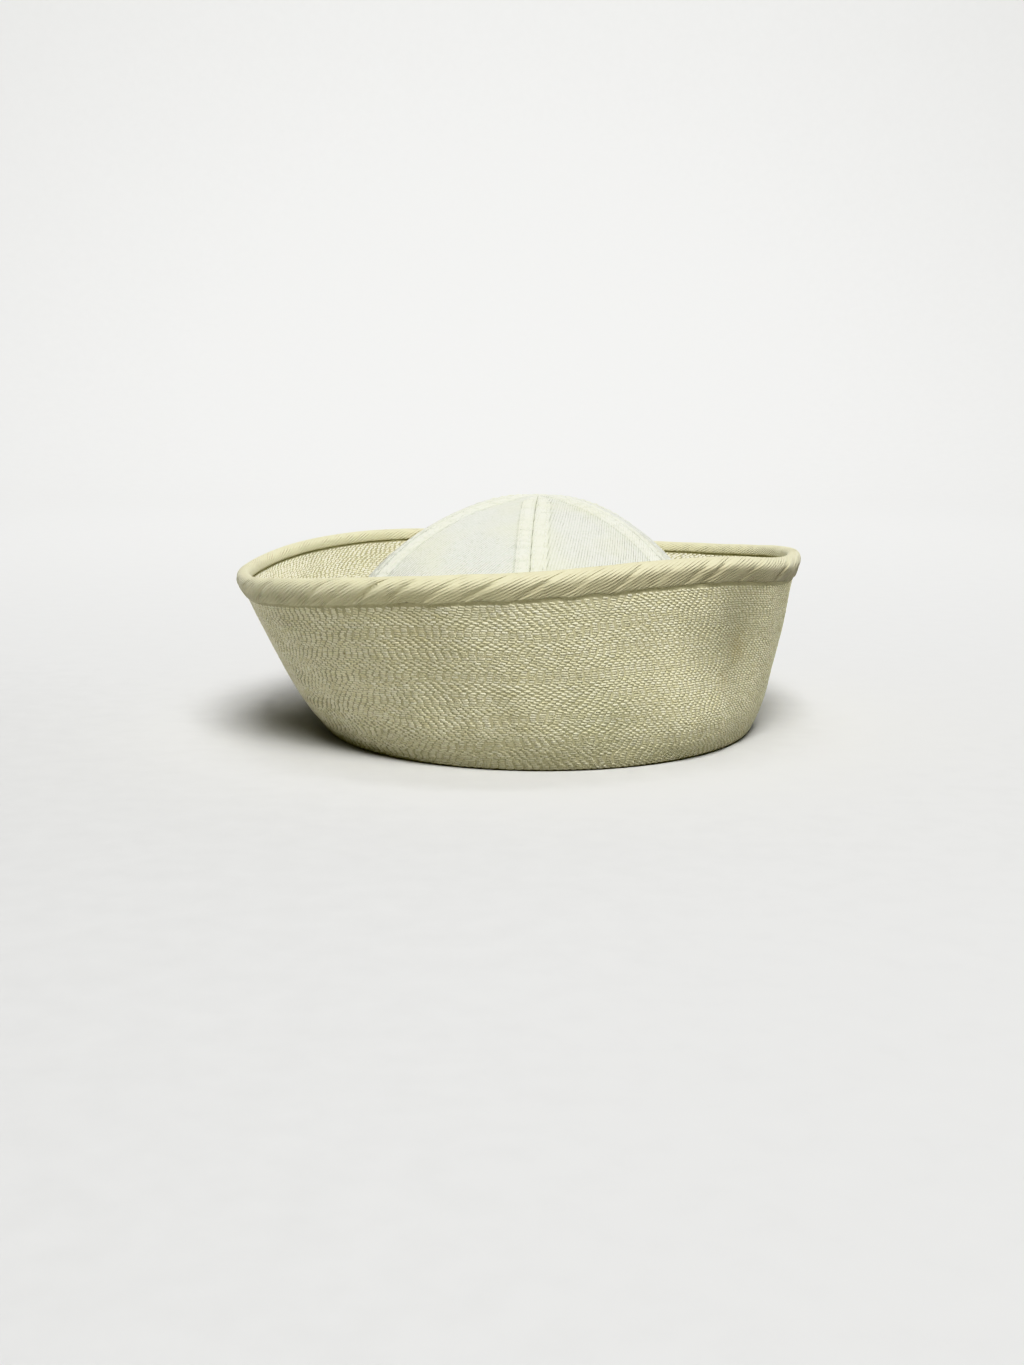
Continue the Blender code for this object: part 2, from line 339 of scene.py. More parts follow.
def agedAndShadedColour(tree, colour, place):
    # yellowed patches and a speck on the outer wall, painted shade that darkens the lowest 15 mm towards the
    # fold, and a cloudy greying of it all
    cloud = addNode(
        tree, "TexNoise", {"Vector": place, "Scale": noiseScale(38.46 * mm), "Detail": 3.0, "Roughness": 0.55}
    )
    share = addNode(tree, "MapRange", {0: cloud.outputs["Fac"], 1: 0.35, 2: 0.75, 3: 0.0, 4: 0.22})
    greyed = addNode(
        tree, "MixRGB", {"Fac": share.outputs[0], "Color1": colour, "Color2": hexColour("B8B699")}
    )
    height = addNode(tree, "SeparateXYZ", {0: place}).outputs["Z"]
    # painted shade: the colour is darkened over the lowest 15 mm, towards the fold
    foot = addNode(tree, "MapRange", {0: height, 1: 0.0, 2: 15 * mm, 3: 0.6, 4: 0.0})
    paintedFootShade = addNode(
        tree, "MixRGB", {"Fac": foot.outputs[0], "Color1": greyed.outputs[0], "Color2": hexColour("A9A68C")}
    )
    colour = paintedFootShade.outputs[0]
    for turn, height, radius, strength, code in ageMarks:
        spot = wallPoint(math.radians(turn), height, 0.0)
        away = addNode(tree, "VectorMath", {0: place, 1: tuple(spot)}, operation="DISTANCE")
        share = addNode(
            tree, "MapRange", {0: away.outputs["Value"], 1: 0.0, 2: radius, 3: strength, 4: 0.0},
            interpolation_type="SMOOTHSTEP",
        )
        marked = addNode(
            tree, "MixRGB", {"Fac": share.outputs[0], "Color1": colour, "Color2": hexColour(code)}
        )
        colour = marked.outputs[0]
    return colour


# Lockstitch quilting: rows sewn round and round through all the plies of the brim
quilt = {
    "rows": 84,
    "stitch": (2.95, 2.40, 2.65, 2.90, 2.90, 2.90, 2.90, 3.00),  # length in mm, every 45 degrees of turn
    "halfLength": 0.47,  # share of the stitch's length
    "halfHeight": 0.41 * mm,
    "halfThick": 0.38 * mm,
    "proud": 0.03 * mm,  # how far a stitch's middle stands off the drill
    "dive": 0.25 * mm,
    "slant": math.radians(-5),  # thread twist turns each stitch down to the right
    "edgeSlant": math.radians(-13),  # more so in the rows nearest the tape
    # Each row starts a share of a stitch after the one below. The share swings, so that
    # a few rows stand in columns and the next few lie like bricks.
    "shift": 0.25,
    "shiftSwing": 0.27,
    "shiftRows": 9.5,
    # how uneven the sewing is: along the row, across it, in tilt and in size
    "unevenAlong": 0.045,
    "unevenRow": 0.05,
    "unevenTilt": math.radians(4),
    "unevenSize": 0.07,
    "firstHeight": 0.6 * mm,  # nothing is sewn on the flat under the fold
    "firstInside": 14,  # the inner rows start above the hem
    "bareOutside": 7.6 * mm,  # slant left without rows, under the tape
    "bareInside": 2.8 * mm,
    "seed": 21,
}

bindingTape = {
    "cloth": 1.0 * mm,
    "outside": 9.4 * mm,
    "inside": 5.2 * mm,
    "rollHeight": 4.5 * mm,  # how far down the outer side goes on rounding
    "puff": 0.3 * mm,
    "hemProud": 0.6 * mm,
    "foldDepth": 0.8 * mm,
    # turn in degrees and strength of the folds in front, and where the rest begin and end
    "frontFolds": (
        (-36, 1.0), (-29.5, 1.1), (-23, 1.0), (-15.5, 1.2), (-5.5, 1.1), (3, 0.6),
        (13.5, 0.9), (22, 0.4), (32, 0.9), (37, 1.0), (48, 0.6),
    ),
    "otherFolds": (54, 320),
    "columns": 900,
    "twill": 1.1 * mm,  # real ribs are 0.8 mm apart, drawn coarser so that they show
    "twillAngle": math.radians(24),
    "seed": 5,
}


def edgeShare(turn):
    # share of the slant where the brim's rounded edge has its centre
    return 1 - (bindingTape["cloth"] + opening["clearance"] + brim["thick"] / 2) / slantAt(turn)


ringTurns = np.linspace(0, fullTurn, 1441)
quiltSeeds = np.random.default_rng(quilt["seed"])
swing = np.sin(fullTurn * np.arange(quilt["rows"]) / quilt["shiftRows"] + 0.7)
rowJitter = quiltSeeds.normal(0, 0.05, quilt["rows"])
rowShifts = -np.cumsum(quilt["shift"] + quilt["shiftSwing"] * swing + rowJitter)
# slow drifts of the feed: depth in stitches, how many round the brim, climb from row to row, and phase
feedDrifts = [
    (
        quiltSeeds.uniform(0.12, 0.3),
        quiltSeeds.integers(2, 10),
        quiltSeeds.uniform(-0.6, 0.6),
        quiltSeeds.uniform(0, 6),
    )
    for drift in range(6)
]


def ringLengths(share):
    # way round the wall's outer face at this share of the slant, up to each of ringTurns, in mm
    points = wallPoint(ringTurns, share, 0.0)
    return np.concatenate([[0], np.cumsum(np.linalg.norm(np.diff(points, axis=0), axis=1))]) / mm


def sewnRow(row):
    # how many stitches of a row have been sewn at each of ringTurns, and how many it has in all
    way = ringLengths(edgeShare(ringTurns) * (row + 0.5) / quilt["rows"])
    middle = (ringTurns[1:] + ringTurns[:-1]) / 2
    sewn = np.concatenate([[0], np.cumsum(np.diff(way) / smoothRing(quilt["stitch"], middle))])
    count = round(sewn[-1])
    sewn = sewn * count / sewn[-1] + rowShifts[row]
    for depth, around, up, phase in feedDrifts:
        sewn = sewn + depth * np.sin(around * ringTurns + up * row + phase)
    return sewn, count


def drillCloth():
    # Cotton drill, woven and sewn through: only slits of it show between the threads, coloured darker as
    # painted shade in those slits
    material, tree, shader = newMaterial("quiltedCottonDrill", 0.9, sheen=0.1)
    place = addNode(tree, "TexCoord").outputs["Object"]
    weave = addNode(tree, "TexNoise", {"Vector": place, "Scale": noiseScale(0.7143 * mm), "Detail": 2.0})
    # painted shade: both tones are darker than the threads, for the shade between them
    dark, pale = hexColour("B2AC8E"), hexColour("CECAAE")
    base = addNode(tree, "MixRGB", {"Fac": weave.outputs["Fac"], "Color1": dark, "Color2": pale})
    bump = addNode(tree, "Bump", {"Height": weave.outputs["Fac"], "Strength": 0.5, "Distance": 0.15 * mm})
    linkFinish(tree, shader, agedAndShadedColour(tree, base.outputs[0], place), bump.outputs[0])
    return material


def quiltThread(name, dullCode, paleCode):
    # Soft mercerised cotton thread, twisted from three strands: each stitch is a small pale cord,
    # yellower and greyer outside, where the brim was handled, than on its clean inner side
    material, tree, shader = newMaterial(name, 0.72, sheen=0.2)
    place = addNode(tree, "TexCoord").outputs["Object"]
    tone = addNode(tree, "Attribute", attribute_name="stitchTone").outputs["Fac"]
    dull, pale = hexColour(dullCode), hexColour(paleCode)
    base = addNode(tree, "MixRGB", {"Fac": tone, "Color1": dull, "Color2": pale})
    fibre = addNode(tree, "TexNoise", {"Vector": place, "Scale": noiseScale(0.4545 * mm), "Detail": 1.0})
    bump = addNode(tree, "Bump", {"Height": fibre.outputs["Fac"], "Strength": 0.35, "Distance": 0.1 * mm})
    linkFinish(tree, shader, agedAndShadedColour(tree, base.outputs[0], place), bump.outputs[0])
    return material


def buildBrim(columns=300, wallSteps=56):
    turn = np.linspace(0, fullTurn, columns + 1)
    centre = edgeShare(turn)
    thick = brim["thick"]
    section = [wallPoint(turn, centre * step / wallSteps, 0.0) for step in range(wallSteps + 1)]
    for step in range(1, 6):
        angle = math.pi * step / 6
        depth = thick / 2 * (1 - math.cos(angle))
        section.append(wallPoint(turn, centre, depth, thick / 2 * math.sin(angle)))
    section += [wallPoint(turn, centre * step / wallSteps, thick) for step in range(wallSteps, -1, -1)]
    hemOutside = crown["inset"] + crown["cloth"] + opening["clearance"]
    hemInside = hemOutside + brim["hemThick"]
    lip = brim["hemThick"] / 4
    hem = [(-hemOutside, thick + (brim["hemHeight"] - lip - thick) * step / 4) for step in range(5)]
    hem += [(-hemOutside - lip, brim["hemHeight"]), (-hemInside + lip, brim["hemHeight"])]
    drop = brim["hemHeight"] - lip - brim["hemFold"]
    hem += [(-hemInside, brim["hemHeight"] - lip - drop * step / 5) for step in range(5)]
    for step in range(7):
        angle = math.pi / 2 * step / 6
        inwards = brim["hemFold"] * (1 - math.cos(angle))
        hem.append((-hemInside + inwards, brim["hemFold"] * (1 - math.sin(angle))))
    section += [ovalPoint(turn, np.full(len(turn), outward), height) for outward, height in hem]
    section.append(section[0])
    points = np.array(section)
    points[:, :, 2] = np.maximum(points[:, :, 2], 0.0)
    shell = clothGrid(points)
    bmesh.ops.recalc_face_normals(shell, faces=shell.faces)
    finishPiece("stitched_brim", shell, drillCloth(), ("brim",))


def quiltFace(names, depth, firstRow, lastRow, outwards, material):
    # every stitch of one face of the brim, set out row by row, and shared out from the fold up
    # between the named pieces, because one piece can't hold them all
    draws = np.random.default_rng(quilt["seed"] + int(outwards > 0))
    turns, rows = [], []
    for row in range(firstRow, lastRow):
        sewn, count = sewnRow(row)
        jitter = draws.normal(0, quilt["unevenAlong"], count)
        middles = np.ceil(sewn[0] - 0.5) + 0.5 + np.arange(count) + jitter
        turns.append(np.interp(middles, sewn, ringTurns))
        rows.append(row + 0.5 + draws.normal(0, quilt["unevenRow"], count))
    turn, row = np.concatenate(turns), np.concatenate(rows)
    share = edgeShare(turn) * row / quilt["rows"]
    centre = wallPoint(turn, share, depth)
    kept = centre[:, 2] > quilt["firstHeight"]
    turn, share, centre = turn[kept], share[kept], centre[kept]
    small = 1e-4
    along = unit(wallPoint(turn + small, share, depth) - wallPoint(turn - small, share, depth))
    up = unit(wallPoint(turn, share + small, depth) - wallPoint(turn, share - small, depth))
    up = unit(up - along * np.sum(along * up, axis=1, keepdims=True))
    nearTape = ease(0.78, 0.86, share)
    tilt = quilt["slant"] * (1 - nearTape) + quilt["edgeSlant"] * nearTape
    tilt = (tilt + draws.normal(0, quilt["unevenTilt"], len(turn)))[:, None]
    threadAlong = np.cos(tilt) * along + np.sin(tilt) * up
    threadUp = (np.cos(tilt) * up - np.sin(tilt) * along) * outwards
    length = quilt["halfLength"] * smoothRing(quilt["stitch"], turn) * mm
    size = np.stack(np.broadcast_arrays(length, quilt["halfHeight"], quilt["halfThick"]), -1)
    size = size * draws.normal(1, quilt["unevenSize"], size.shape)
    tones = np.clip(draws.normal(0.5, 0.25, len(turn)), 0, 1)
    for name, part in zip(names, np.array_split(np.arange(len(turn)), len(names))):
        axes = threadAlong[part], threadUp[part]
        sewStitches(name, centre[part], *axes, size[part], quilt["dive"], tones[part], material, "brim_cloth")


# Bias tape over the brim's edge
def tapeTwill():
    # Cotton twill tape, cut on the bias and pressed over the edge: fine slanting ribs, and painted shade
    # that darkens its lower leg towards the hem, most of all at the front right
    material, tree, shader = newMaterial("biasTwillTape", 0.70, sheen=0.2)
    place = addNode(tree, "TexCoord").outputs["Object"]
    run = addNode(tree, "UVMap", uv_map="clothRun").outputs["UV"]
    angle = bindingTape["twillAngle"]
    turns = fullTurn / (bindingTape["twill"] / mm)
    across = (-math.sin(angle) * turns, math.cos(angle) * turns, 0.0)
    phase = addNode(tree, "VectorMath", {0: run, 1: across}, operation="DOT_PRODUCT")
    rib = addNode(tree, "Math", {0: phase.outputs["Value"]}, operation="SINE")
    patch = addNode(tree, "TexNoise", {"Vector": place, "Scale": noiseScale(4.167 * mm), "Detail": 2.0})
    strength = addNode(tree, "MapRange", {0: patch.outputs["Fac"], 1: 0.35, 2: 0.65, 3: 0.25, 4: 1.0})
    rib = addNode(tree, "Math", {0: rib.outputs[0], 1: strength.outputs[0]}, operation="MULTIPLY")
    shade = addNode(tree, "MapRange", {0: rib.outputs[0], 1: -1.0, 2: 1.0, 3: 0.28, 4: 0.0})
    across = addNode(tree, "SeparateXYZ", {0: run}).outputs["Y"]
    # painted shade: the lower leg, which faces down, is coloured darker towards its hem
    lowerLegShade = addNode(
        tree, "MapRange", {0: across, 1: 3.0, 2: 8.0, 3: 0.75, 4: 0.0}, interpolation_type="SMOOTHSTEP"
    )
    lowerShadedTape = addNode(
        tree, "MixRGB", {"Fac": lowerLegShade.outputs[0], "Color1": hexColour("E3DFC3"), "Color2": hexColour("C6C1A3")}
    )
    # painted shade: the front right of the lower half is darkened further
    sideways = addNode(tree, "SeparateXYZ", {0: place})
    right = addNode(tree, "MapRange", {0: sideways.outputs["X"], 1: -0.05, 2: 0.125, 3: 0.05, 4: 1.0})
    front = addNode(tree, "MapRange", {0: sideways.outputs["Y"], 1: 0.0, 2: -0.05, 3: 0.3, 4: 1.0})
    lower = addNode(
        tree, "MapRange", {0: across, 1: 5.0, 2: 8.5, 3: 0.85, 4: 0.0}, interpolation_type="SMOOTHSTEP"
    )
    frontRightShade = addNode(tree, "Math", {0: right.outputs[0], 1: front.outputs[0]}, operation="MULTIPLY")
    frontRightShade = addNode(tree, "Math", {0: frontRightShade.outputs[0], 1: lower.outputs[0]}, operation="MULTIPLY")
    frontRightShadedTape = addNode(
        tree, "MixRGB", {"Fac": frontRightShade.outputs[0], "Color1": lowerShadedTape.outputs[0], "Color2": hexColour("87806A")}
    )
    base = addNode(
        tree, "MixRGB", {"Fac": shade.outputs[0], "Color1": frontRightShadedTape.outputs[0], "Color2": hexColour("B5AF8C")}
    )
    bump = addNode(tree, "Bump", {"Height": rib.outputs[0], "Strength": 0.8, "Distance": 0.22 * mm})
    linkFinish(tree, shader, agedAndShadedColour(tree, base.outputs[0], place), bump.outputs[0])
    return material


def dragFolds(arc, across):
    # Soft folds where the bias tape drags round the edge. They climb to the right at about 30 degrees.
    draws = np.random.default_rng(bindingTape["seed"])
    edgeWay = ringLengths(edgeShare(ringTurns))
    total = edgeWay[-1]
    folds = [
        (np.interp(math.radians(turn % 360), ringTurns, edgeWay), depth)
        for turn, depth in bindingTape["frontFolds"]
    ]
    place, last = bindingTape["otherFolds"]
    while place < last:
        place += draws.uniform(4.0, 8.5)
        folds.append((np.interp(math.radians(place), ringTurns, edgeWay), draws.uniform(0.25, 1.0)))
    pushed = np.zeros(np.broadcast(arc, across).shape)
    for start, depth in folds:
        reach = draws.uniform(1.5, 1.9)
        width = draws.uniform(1.5, 2.3)
        away = (arc - start - across * reach + total / 2) % total - total / 2
        pushed -= depth * bell(away, width)
        pushed += 0.35 * depth * bell(away - 2.2 * width, 1.4 * width)
    return pushed


def buildBinding():
    tape = bindingTape
    turn = np.linspace(0, fullTurn, tape["columns"] + 1)
    centre, slant = edgeShare(turn), slantAt(turn)
    thick, gap = brim["thick"], opening["clearance"]
    inside = thick / 2 + gap
    outside = inside + tape["cloth"]
    draws = np.random.default_rng(tape["seed"] + 1)
    wander = sum(
        draws.uniform(0.04, 0.14) * mm * np.sin(draws.integers(4, 60) * turn + draws.uniform(0, fullTurn))
        for wave in range(8)
    )
    arc = np.interp(turn, ringTurns, ringLengths(edgeShare(ringTurns)))
    outerLeg = tape["outside"] - outside
    innerLeg = tape["inside"] - outside
    section, cloth = [], []
    run = [0.0]

    def addRow(points):
        if section:
            run.append(run[-1] + float(np.linalg.norm(points - section[-1], axis=1).mean()) / mm)
        section.append(points)
        cloth.append(np.stack([arc, np.full(len(arc), run[-1])], axis=-1))

    def outerPoint(up, proud, across, strength):
        # a point of the outer side, up from the edge's centre and proud of the brim's middle,
        # moved by the drag folds
        rise = up + wander * np.clip(-up / outerLeg, 0, 1)
        fold = tape["foldDepth"] * strength * dragFolds(arc, across)
        beyond = np.maximum(rise, 0.0)
        return wallPoint(turn, centre + np.minimum(rise, 0.0) / slant, thick / 2 - proud - fold, beyond)

    def legPoint(down, depth):
        return wallPoint(turn, centre - down / slant, depth)

    roll, reach = tape["rollHeight"], outside + tape["puff"]
    rollCentre = outside - roll
    flat = outerLeg + rollCentre
    hem = inside + tape["hemProud"]
    addRow(legPoint(outerLeg - 0.1 * mm, -gap))
    addRow(outerPoint(-outerLeg, inside + 0.1 * mm, 0.0, 0.0))
    addRow(outerPoint(-outerLeg, hem - 0.2 * mm, 0.0, 0.3))
    addRow(outerPoint(-outerLeg + 0.1 * mm, hem, 0.0, 0.45))
    for step in range(1, 8):
        part = 1 - step / 7
        up = rollCentre - flat * part
        across = (outerLeg + up) / mm
        proud = reach - (reach - hem) * part**1.4
        addRow(outerPoint(up + 0.1 * mm * part, proud, across, 0.55 + 0.45 * step / 7))
    for step in range(1, 19):
        angle = math.pi / 2 * step / 18
        up = rollCentre + roll * math.sin(angle)
        across = (outerLeg + rollCentre + roll * angle) / mm
        addRow(outerPoint(up, reach * math.cos(angle), across, math.cos(angle) ** 1.6 if step < 18 else 0.0))
    for step in range(1, 8):
        angle = math.pi / 2 * step / 7
        addRow(wallPoint(turn, centre, thick / 2 + outside * math.sin(angle), outside * math.cos(angle)))
    for step in range(1, 5):
        thin = 1 - 0.45 * (step / 4) ** 2  # the inner side is pressed thinner towards its hem
        addRow(legPoint(innerLeg * step / 4, thick + gap + tape["cloth"] * thin))
    addRow(legPoint(innerLeg + 0.1 * mm, thick + gap + 0.3 * tape["cloth"]))
    addRow(legPoint(innerLeg, thick + gap))
    addRow(legPoint(innerLeg / 2, thick + gap))
    for step in range(8, -1, -1):
        angle = math.pi * step / 8
        addRow(wallPoint(turn, centre, thick / 2 - inside * math.cos(angle), inside * math.sin(angle)))
    addRow(legPoint(outerLeg / 2, -gap))
    section.append(section[0])
    cloth.append(cloth[-1])
    shell = clothGrid(np.array(section), np.array(cloth))
    bmesh.ops.recalc_face_normals(shell, faces=shell.faces)
    finishPiece("binding_tape", shell, tapeTwill(), ("brim_binding",))


# Crown of six gores, each with half of a felled seam along both sides
crown = {
    "height": 0.0930,
    "cloth": 1.2 * mm,
    "overHem": 4.0 * mm,
    "turn": math.radians(-4),
    "gores": 6,
    "flatness": 0.7,
    "inset": 0.8 * mm,
    "slump": (0.01, -0.04, -0.08, -0.01, 0.02, 0.085),
    "band": 6.0,
    "bandShare": 0.3,
    "raise": 0.6 * mm,
    "puckerPitch": 4.0,
    "puckerDepth": 0.45 * mm,
    "levels": 144,
    "panelColumns": 28,
    "stitch": 2.6 * mm,
    "stitchHalf": np.array([1.12, 0.2, 0.2]) * mm,
    "stitchLift": 0.34 * mm,
    "stitchDive": 0.14 * mm,
    "topstitch": (1.1, 5.0),  # mm from the seam
    "sewnIn": 0.35 * mm,  # how deep the topstitching pulls the band in
    "twill": 1.15 * mm,  # real ribs are 0.7 mm apart, drawn a little coarser so that they show
    "twillAngle": math.radians(62),
    "seed": 11,
}
bandColumns = (0.03, 0.3, 0.7, 1.1, 1.5, 2.1, 2.8, 3.5, 4.1, 4.6, 5.0, 5.4, 5.75, 6.1, 6.5, 7.3, 8.6)


def crownPoint(turn, rise, depth):
    skirtTop = brim["hemHeight"] + crown["overHem"]
    height = skirtTop + (crown["height"] - skirtTop) * rise
    dome = np.maximum(rise, 0.0)
    ring = np.sqrt(np.maximum(1 - dome**2, 0.0))
    half = math.pi / crown["gores"]
    offCentre = (turn - crown["turn"]) % (2 * half) - half
    ring = ring * (1 - crown["flatness"] * dome * (1 - math.cos(half) / np.cos(offCentre)))
    ring = ring * (1 + smoothRing(crown["slump"], turn - crown["turn"]) * (1 - (1 - dome) ** 3))
    across = (opening["width"] / 2 - crown["inset"] - depth) * ring
    forward = (opening["length"] / 2 - crown["inset"] - depth) * ring
    x = across * np.sin(turn) + opening["middle"][0]
    y = -forward * np.cos(turn) + opening["middle"][1]
    return np.stack([x, y, height - depth * dome**4], axis=-1)


def goreLevels(start):
    # rises at equal steps along the gore's seam, with the way up from the foot in mm
    foot = brim["thick"] + opening["clearance"]
    skirtTop = brim["hemHeight"] + crown["overHem"]
    below = (foot - skirtTop) / (crown["height"] - skirtTop)
    dome = np.sin(np.linspace(0, math.pi / 2 * 0.9995, 600))
    rises = np.concatenate([np.linspace(below, 0, 30)[:-1], dome])
    points = crownPoint(start, rises, 0.0)
    way = np.concatenate([[0], np.cumsum(np.linalg.norm(np.diff(points, axis=0), axis=1))]) / mm
    even = np.linspace(0, way[-1], crown["levels"])
    return np.interp(even, way, rises), even


def puckerWave(fromSeam, way, phase, pitch):
    # from about -1 to 1 along a seam, uneven, and fading out beside its band
    wobble = np.sin(fullTurn * way / pitch + phase + 1.1 * np.sin(way / 19 + phase))
    wobble = 0.67 * wobble + 0.33 * np.sin(fullTurn * way / (pitch * 1.63) + 2.3 * phase)
    swell = 0.75 + 0.25 * np.sin(way / 11 + 3 * phase)
    return wobble * swell * (bell(fromSeam - 3.2, 2.4) + 0.5 * bell(fromSeam - 7.0, 2.4))


def seamRelief(fromSeam, way, phase, pitch):
    # height of the cloth over the plain gore: the felled band, its crease and the puckers of its stitching
    band = ease(0.05, 0.75, fromSeam) * (1 - ease(5.65, 6.25, fromSeam))
    ridge = crown["raise"] * band
    for line in crown["topstitch"]:
        ridge = ridge - crown["sewnIn"] * bell(fromSeam - line, 0.45)
    return ridge + crown["puckerDepth"] * puckerWave(fromSeam, way, phase, pitch)


def goreWidth(start, end, rise):
    return np.linalg.norm(crownPoint(end, rise, 0.0) - crownPoint(start, rise, 0.0), axis=-1) / mm


def bandScale(width):
    return np.minimum(crown["bandShare"], crown["band"] / width) / crown["band"]


def crownTwill():
    # Bleached cotton twill, washed and pressed: fine diagonal ribs, with the sewn bands painted lighter,
    # partly for their double cloth and partly as a painted highlight on their raised, shinier surface
    material, tree, shader = newMaterial("bleachedCottonTwill", 0.66, sheen=0.15)
    place = addNode(tree, "TexCoord").outputs["Object"]
    run = addNode(tree, "UVMap", uv_map="clothRun").outputs["UV"]
    band = addNode(tree, "Attribute", attribute_name="seamBand").outputs["Fac"]
    angle = crown["twillAngle"]
    turns = fullTurn / (crown["twill"] / mm)
    across = (-math.sin(angle) * turns, math.cos(angle) * turns, 0.0)
    phase = addNode(tree, "VectorMath", {0: run, 1: across}, operation="DOT_PRODUCT")
    rib = addNode(tree, "Math", {0: phase.outputs["Value"]}, operation="SINE")
    patch = addNode(tree, "TexNoise", {"Vector": place, "Scale": noiseScale(3.125 * mm), "Detail": 2.0})
    strength = addNode(tree, "MapRange", {0: patch.outputs["Fac"], 1: 0.3, 2: 0.7, 3: 0.45, 4: 1.0})
    rib = addNode(tree, "Math", {0: rib.outputs[0], 1: strength.outputs[0]}, operation="MULTIPLY")
    shade = addNode(tree, "MapRange", {0: rib.outputs[0], 1: -1.0, 2: 1.0, 3: 1.0, 4: 0.0})
    panel = addNode(
        tree, "MixRGB", {"Fac": shade.outputs[0], "Color1": hexColour("F3F3EC"), "Color2": hexColour("C4C6BD")}
    )
    # the bands are painted lighter: partly their double cloth, partly a painted highlight on the raised seam
    seamed = addNode(
        tree, "MixRGB", {"Fac": band, "Color1": panel.outputs[0], "Color2": hexColour("FAFAEF")}
    )
    groove = addNode(tree, "Attribute", attribute_name="seamGroove").outputs["Fac"]
    seamed = addNode(
        tree, "MixRGB", {"Fac": groove, "Color1": seamed.outputs[0], "Color2": hexColour("B4B7A8")}
    )
    grain = addNode(tree, "TexNoise", {"Vector": place, "Scale": noiseScale(1.111 * mm), "Detail": 1.0})
    share = addNode(tree, "MapRange", {0: grain.outputs["Fac"], 1: 0.4, 2: 0.75, 3: 0.0, 4: 0.6})
    grained = addNode(
        tree, "MixRGB", {"Fac": share.outputs[0], "Color1": seamed.outputs[0], "Color2": hexColour("C2C5B8")}
    )
    cloud = addNode(tree, "TexNoise", {"Vector": place, "Scale": noiseScale(25 * mm), "Detail": 3.0})
    share = addNode(tree, "MapRange", {0: cloud.outputs["Fac"], 1: 0.4, 2: 0.7, 3: 0.0, 4: 0.3})
    colour = addNode(
        tree, "MixRGB", {"Fac": share.outputs[0], "Color1": grained.outputs[0], "Color2": hexColour("E4E3C4")}
    )
    bump = addNode(tree, "Bump", {"Height": rib.outputs[0], "Strength": 0.7, "Distance": 0.25 * mm})
    linkFinish(tree, shader, colour.outputs[0], bump.outputs[0])
    return material


def seamThread():
    # White cotton sewing thread, a little brighter than the cloth
    material, tree, shader = newMaterial("whiteSeamThread", 0.6, sheen=0.2)
    place = addNode(tree, "TexCoord").outputs["Object"]
    tone = addNode(tree, "Attribute", attribute_name="stitchTone").outputs["Fac"]
    base = addNode(
        tree, "MixRGB", {"Fac": tone, "Color1": hexColour("E9EADF"), "Color2": hexColour("FBFBF2")}
    )
    fibre = addNode(tree, "TexNoise", {"Vector": place, "Scale": noiseScale(0.3846 * mm), "Detail": 1.0})
    bump = addNode(tree, "Bump", {"Height": fibre.outputs["Fac"], "Strength": 0.3, "Distance": 0.06 * mm})
    linkFinish(tree, shader, base.outputs[0], bump.outputs[0])
    return material


